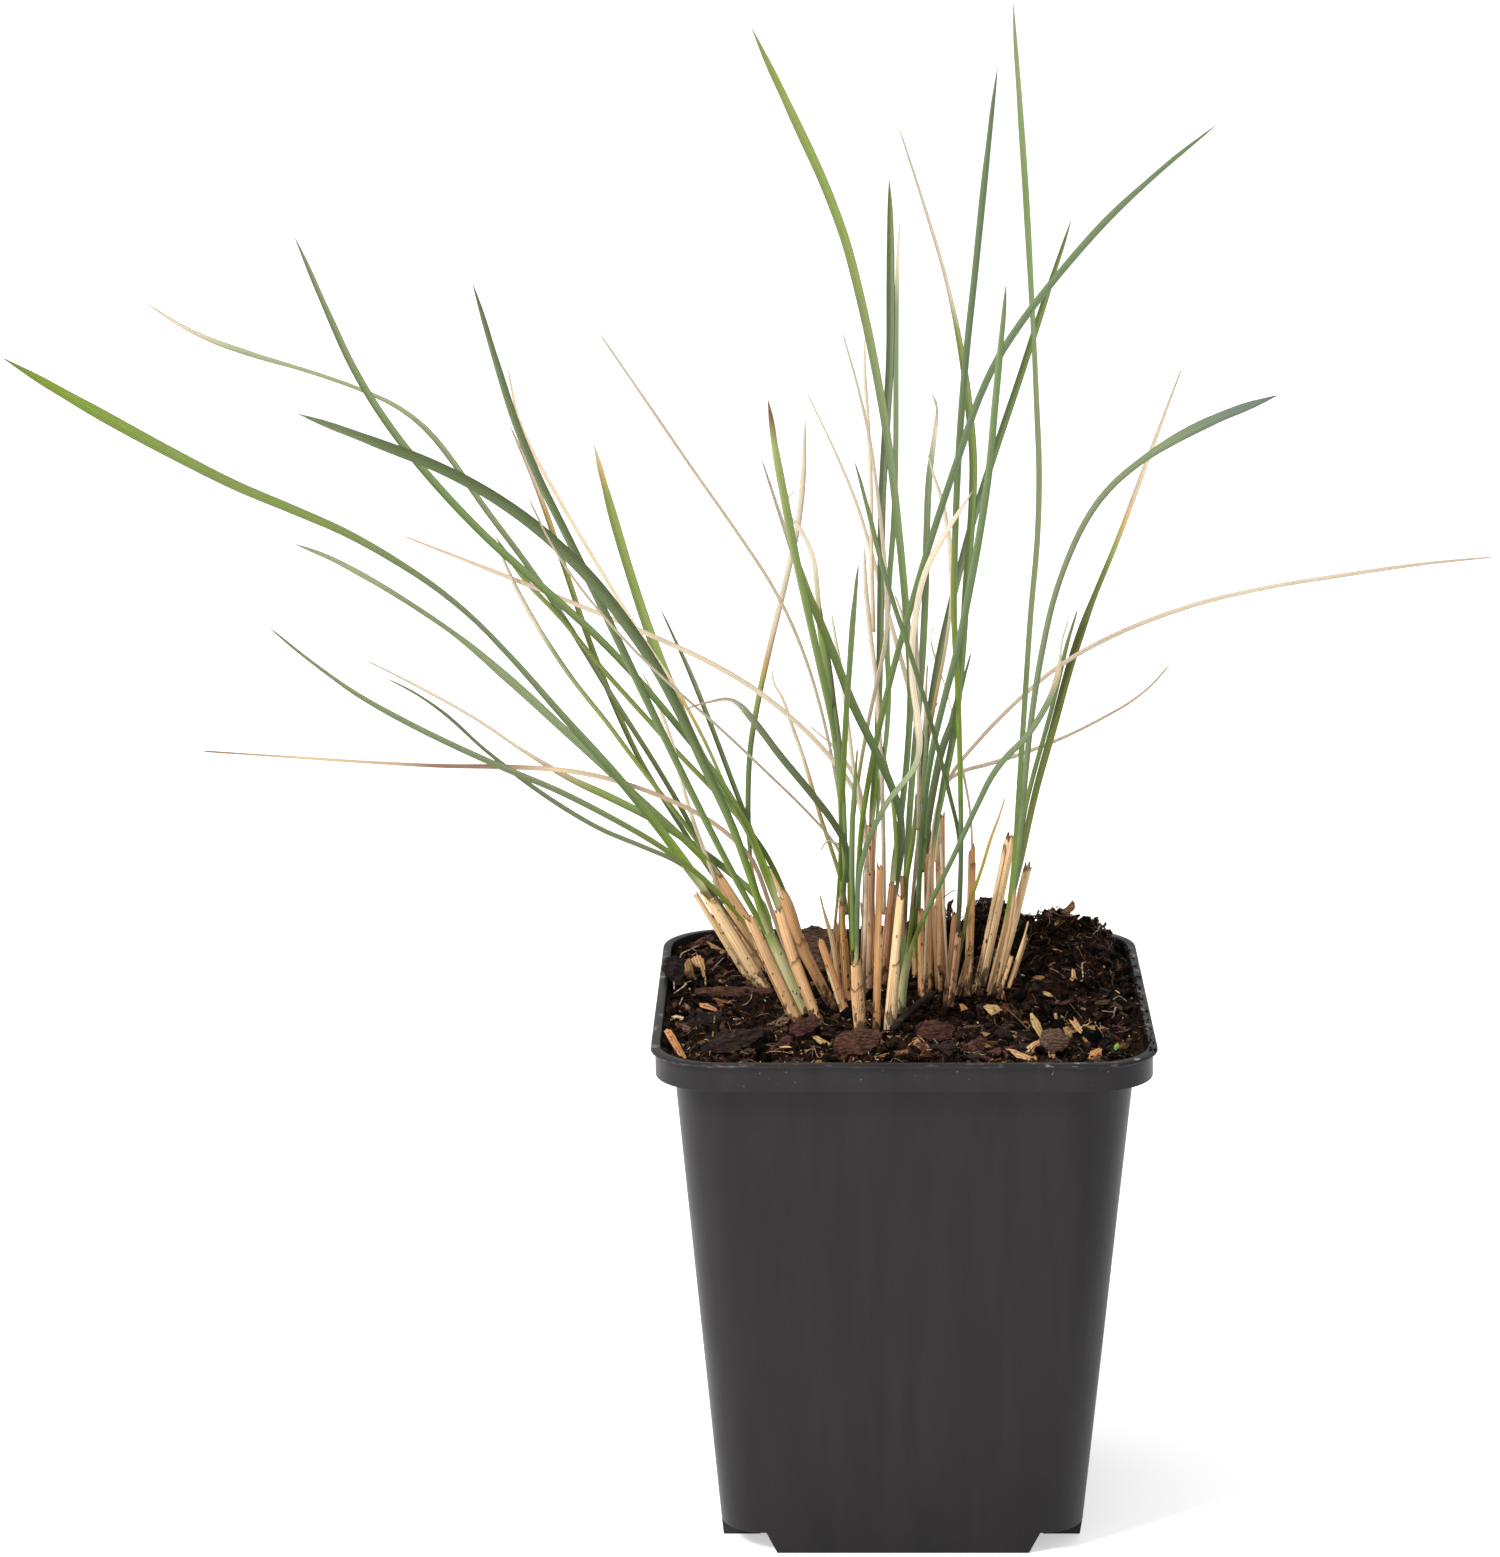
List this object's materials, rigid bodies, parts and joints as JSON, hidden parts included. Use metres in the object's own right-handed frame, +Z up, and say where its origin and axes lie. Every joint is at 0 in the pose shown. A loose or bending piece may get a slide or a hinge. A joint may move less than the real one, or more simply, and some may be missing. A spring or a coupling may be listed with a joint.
{
  "type": "potted ornamental grass clump",
  "caption": "Young clump-forming grass in a square nursery pot: cut straw stubble with fresh green blades and dry straw leaves fanning out over dark potting mix.",
  "frame": {"origin": "middle of the pot's underside, on the surface that the pot stands on", "axes": "+Z up; -Y is the front of the pot, the side that the clump's tallest blades rise behind; +X to the right seen from the front"},
  "size_m": [0.2714, 0.158, 0.2788],
  "materials": {
    "plastic": "satin black with dusty scuffs along the lip",
    "soil": "dark fibrous peat and bark potting mix",
    "bark": "weathered bark chips and twigs",
    "straw": "dry ribbed straw with dark specks",
    "green_leaf": "fresh leaf with fine veins, blue-green to yellow-green",
    "dry_leaf": "pale dry leaf, twisted"
  },
  "bodies": {
    "root": {"pot": "plastic", "potting_mix": "soil", "bark_chip_brown": "bark", "bark_chip_red": "bark", "stick_left": "bark", "stick_dark": "bark", "cut_straw_01": "straw", "cut_straw_02": "straw", "cut_straw_03": "straw", "cut_straw_04": "straw", "cut_straw_05": "straw", "cut_straw_06": "straw", "cut_straw_07": "straw", "cut_straw_08": "straw", "cut_straw_09": "straw", "cut_straw_10": "straw", "cut_straw_11": "straw", "cut_straw_12": "straw", "shoot_01": "green_leaf", "shoot_02": "green_leaf", "shoot_03": "green_leaf", "shoot_04": "green_leaf", "shoot_05": "green_leaf", "shoot_06": "green_leaf", "shoot_07": "green_leaf", "shoot_08": "green_leaf", "shoot_09": "green_leaf", "shoot_10": "green_leaf", "shoot_11": "green_leaf", "shoot_12": "dry_leaf", "shoot_13": "green_leaf", "shoot_14": "green_leaf", "leaf_01": "green_leaf", "leaf_02": "green_leaf", "leaf_03": "dry_leaf", "leaf_04": "green_leaf", "leaf_05": "green_leaf", "leaf_06": "green_leaf", "leaf_07": "green_leaf", "leaf_08": "green_leaf", "leaf_09": "dry_leaf", "leaf_10": "dry_leaf", "leaf_11": "dry_leaf", "leaf_12": "green_leaf", "leaf_13": "green_leaf", "leaf_14": "green_leaf", "leaf_15": "green_leaf", "leaf_16": "green_leaf", "leaf_17": "green_leaf", "leaf_18": "dry_leaf", "leaf_19": "green_leaf", "leaf_20": "dry_leaf", "leaf_21": "green_leaf", "leaf_22": "green_leaf", "leaf_23": "green_leaf", "leaf_24": "green_leaf", "leaf_25": "green_leaf", "leaf_26": "green_leaf", "leaf_27": "dry_leaf", "leaf_28": "dry_leaf"}
  },
  "joints": []
}
